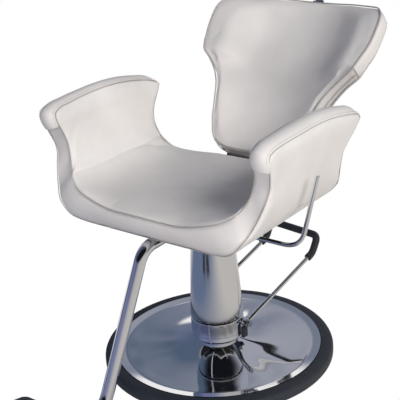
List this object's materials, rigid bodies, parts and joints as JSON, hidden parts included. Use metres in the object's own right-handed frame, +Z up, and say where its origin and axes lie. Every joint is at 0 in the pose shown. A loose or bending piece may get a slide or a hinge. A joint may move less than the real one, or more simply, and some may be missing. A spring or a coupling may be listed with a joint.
{
  "type": "styling chair",
  "caption": "Reclining salon styling chair: cupped winged back, one-piece upholstered seat and arms, chromed hydraulic pedestal on a round base, footrest and headrest.",
  "frame": {"origin": "on the floor at the centre of the round base", "axes": "+Z up the column, -Y the way the sitter faces, +X the sitter's left"},
  "size_m": [0.7014, 1.3858, 1.0243],
  "materials": {
    "chrome": "polished",
    "steel": "satin",
    "black_steel": "satin black",
    "rubber": "matt black",
    "bronze": "satin",
    "nylon": "natural nylon",
    "plywood": "stained black, matt",
    "vinyl": "pearl silver upholstery vinyl with a low sheen",
    "black_plastic": "satin black"
  },
  "bodies": {
    "base": {"base_ring": "rubber", "base_plate": "black_steel", "base_dish": "chrome", "pump_cylinder": "steel", "pump_gland": "bronze", "collar_lower": "chrome", "collar_upper": "chrome", "shaft_bush_left": "steel", "shaft_bush_right": "steel", "lever_stop": "rubber"},
    "piston": {"pump_piston": "steel"},
    "seat": {"piston_rod": "chrome", "column_sleeve": "chrome", "mount_plate": "black_steel", "rail_left": "black_steel", "rail_right": "black_steel", "release_bush": "nylon", "cross_rail_front": "black_steel", "cross_rail_rear": "black_steel", "seat_board": "plywood", "seat_shell": "vinyl", "hinge_plate_left": "black_steel", "hinge_plate_right": "black_steel", "hinge_bolt_left": "steel", "hinge_bolt_right": "steel", "lock_cylinder": "black_steel", "lock_bracket": "steel", "footrest_tube": "chrome", "footrest_cradle": "black_steel", "foot_plate": "black_steel", "foot_mat": "rubber"},
    "pump_lever": {"lever_shaft": "steel", "pump_cam": "steel", "lever_hub_left": "chrome", "hub_screw_left": "steel", "lever_hub_right": "chrome", "hub_screw_right": "steel", "lever_bar": "chrome", "lever_grip": "rubber"},
    "plunger": {"pump_plunger": "steel"},
    "release_lever": {"release_lever": "chrome", "release_cam": "steel"},
    "release_pin": {"release_pin": "steel"},
    "lock_rod": {"lock_rod": "steel"},
    "backrest": {"back_cushion": "vinyl", "back_panel": "vinyl", "back_frame": "black_steel", "hinge_bush_left": "nylon", "hinge_bush_right": "nylon", "back_bolt_1": "steel", "back_bolt_2": "steel", "back_bolt_3": "steel", "back_bolt_4": "steel", "back_crank": "black_steel", "headrest_socket": "black_steel"},
    "headrest_knob": {"headrest_knob": "black_plastic"},
    "headrest_post": {"headrest_post": "chrome", "headrest_pin": "steel"},
    "headrest": {"headrest_yoke": "black_steel", "headrest_pad": "vinyl"}
  },
  "joints": [
    {"name": "lift", "type": "slide", "parent": "base", "child": "piston", "axis": [0, 0, 1], "range_m": [0, 0.15]},
    {"name": "swivel", "type": "hinge", "parent": "piston", "child": "seat", "pos_m": [0, 0, 0.156], "axis": [0, 0, 1], "continuous": true},
    {"name": "pump_stroke", "type": "hinge", "parent": "base", "child": "pump_lever", "pos_m": [0.00296, 0.02281, 0.104], "axis": [0.9917, -0.1288, 0], "range_deg": [-25, 0], "stiffness_Nm_per_rad": 6, "springref_deg": 28.65},
    {"name": "plunger_stroke", "type": "slide", "parent": "base", "child": "plunger", "axis": [0, 0, 1], "range_m": [-0.0051, 0]},
    {"name": "recline", "type": "hinge", "parent": "seat", "child": "backrest", "pos_m": [0, 0.24233, 0.45682], "axis": [1, 0, 0], "range_deg": [-20, 25]},
    {"name": "lock_slide", "type": "slide", "parent": "seat", "child": "lock_rod", "axis": [0, 1, 0], "range_m": [-0.02, 0.025]},
    {"name": "release", "type": "hinge", "parent": "seat", "child": "release_lever", "pos_m": [0, -0.06, 0.399], "axis": [1, 0, 0], "range_deg": [-20, 0], "stiffness_Nm_per_rad": 2, "springref_deg": 17.19},
    {"name": "release_pin_slide", "type": "slide", "parent": "seat", "child": "release_pin", "axis": [0, 1, 0], "range_m": [0, 0.0016]},
    {"name": "headrest_height", "type": "slide", "parent": "backrest", "child": "headrest_post", "axis": [0, 0.7071, 0.7071], "range_m": [0, 0.08]},
    {"name": "headrest_tilt", "type": "hinge", "parent": "headrest_post", "child": "headrest", "pos_m": [0, 0.61426, 0.89805], "axis": [1, 0, 0], "range_deg": [-25, 28]},
    {"name": "knob_turn", "type": "hinge", "parent": "backrest", "child": "headrest_knob", "pos_m": [0, 0.54921, 0.75804], "axis": [0, 0.7071, -0.7071], "range_deg": [0, 270]}
  ],
  "couplings": [
    {"joint": "plunger_stroke", "follows": "pump_stroke", "m_per_rad": 0.01146},
    {"joint": "lock_slide", "follows": "recline", "m_per_rad": 0.05618},
    {"joint": "release_pin_slide", "follows": "release", "m_per_rad": -0.0043}
  ]
}
